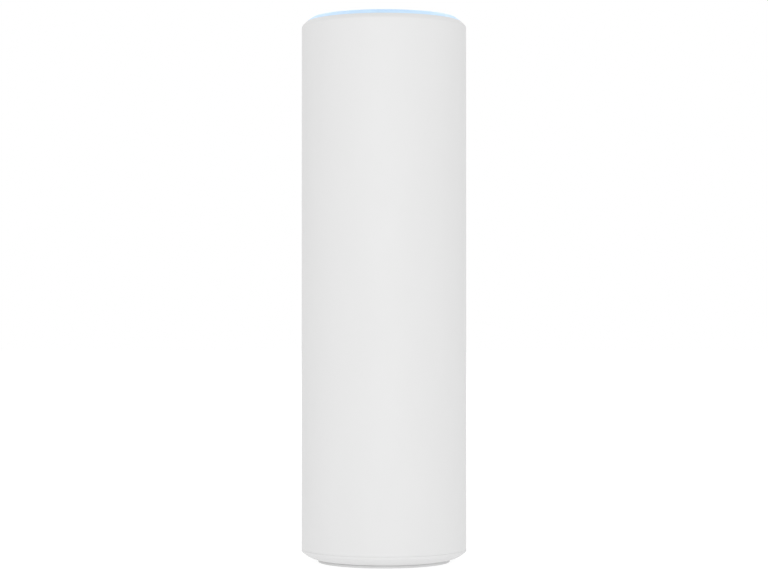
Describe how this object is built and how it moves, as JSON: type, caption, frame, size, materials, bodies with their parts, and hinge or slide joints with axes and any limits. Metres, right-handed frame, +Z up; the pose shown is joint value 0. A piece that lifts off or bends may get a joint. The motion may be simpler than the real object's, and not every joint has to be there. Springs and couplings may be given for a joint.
{
  "type": "mesh wifi node",
  "caption": "Upright white cylindrical mesh Wi-Fi node with a blue light ring round its top edge, on a twist-lock table stand, with an Ethernet jack in its base.",
  "frame": {"origin": "centre of the foot ring's underside, at the bottom of the bounding box", "axes": "+Z up along the tube, -Y towards the front, +Y towards the cable slot, +X to the right seen from the front"},
  "size_m": [0.076, 0.076, 0.2508],
  "materials": {
    "white_shell": "fine matte white polycarbonate",
    "grey_rubber": "matte light-grey silicone rubber",
    "light_guide": "translucent frosted light guide, lit blue",
    "seal_rubber": "matte black",
    "white_inner": "matte white",
    "frame_plastic": "matte dark grey",
    "dark_plastic": "satin black",
    "circuit_board": "green solder mask over glass epoxy",
    "led_package": "white package with a yellow phosphor",
    "flex_film": "amber polyimide film",
    "screw_steel": "plain zinc-plated",
    "shield_steel": "tinned sheet",
    "pad_silicone": "soft blue-grey pad",
    "ferrite": "matte grey ferrite and tape",
    "sink_aluminium": "satin extruded",
    "gold_contact": "thin gold plating",
    "coax_jacket": "grey fluoropolymer jacket"
  },
  "bodies": {
    "stand": {"stand_base": "white_shell", "foot_ring": "grey_rubber"},
    "housing": {"antenna_1": "gold_contact", "antenna_2": "gold_contact", "antenna_3": "gold_contact", "antenna_4": "gold_contact", "antenna_carrier": "white_inner", "board_screw_1": "screw_steel", "board_screw_2": "screw_steel", "board_screw_3": "screw_steel", "board_screw_4": "screw_steel", "bottom_cover": "white_shell", "capacitor_1": "dark_plastic", "capacitor_2": "dark_plastic", "chassis": "frame_plastic", "coax_pigtail_1": "coax_jacket", "coax_pigtail_2": "coax_jacket", "coax_pigtail_3": "coax_jacket", "coax_pigtail_4": "coax_jacket", "cover_screw_1": "screw_steel", "cover_screw_2": "screw_steel", "cover_screw_3": "screw_steel", "cover_seal": "seal_rubber", "ethernet_jack": "shield_steel", "flex_connector": "dark_plastic", "heat_sink": "sink_aluminium", "heat_sink_screw_1": "screw_steel", "heat_sink_screw_2": "screw_steel", "heat_sink_screw_3": "screw_steel", "heat_sink_screw_4": "screw_steel", "jack_contacts": "gold_contact", "jack_insert": "dark_plastic", "led_1": "led_package", "led_2": "led_package", "led_3": "led_package", "led_4": "led_package", "led_5": "led_package", "led_6": "led_package", "led_7": "led_package", "led_8": "led_package", "led_board": "circuit_board", "led_flex_cable": "flex_film", "light_ring": "light_guide", "main_board": "circuit_board", "memory_shield_front": "shield_steel", "outer_shell": "white_shell", "power_transformer": "ferrite", "processor_shield_rear": "shield_steel", "radio_shield_front": "shield_steel", "radio_shield_rear": "shield_steel", "reset_switch": "dark_plastic", "ring_tray": "white_inner", "thermal_pad_1": "pad_silicone", "thermal_pad_2": "pad_silicone", "top_cap": "white_shell"},
    "reset_button": {"reset_key": "grey_rubber", "reset_plunger": "dark_plastic"}
  },
  "joints": [
    {"name": "stand_twist", "type": "hinge", "parent": "stand", "child": "housing", "pos_m": [0, 0, 0.0085], "axis": [0, 0, 1], "range_deg": [0, 25]},
    {"name": "reset_press", "type": "slide", "parent": "housing", "child": "reset_button", "axis": [0, 0, 1], "range_m": [0, 0.0006], "stiffness_N_per_m": 2000, "springref_m": -0.0002}
  ]
}
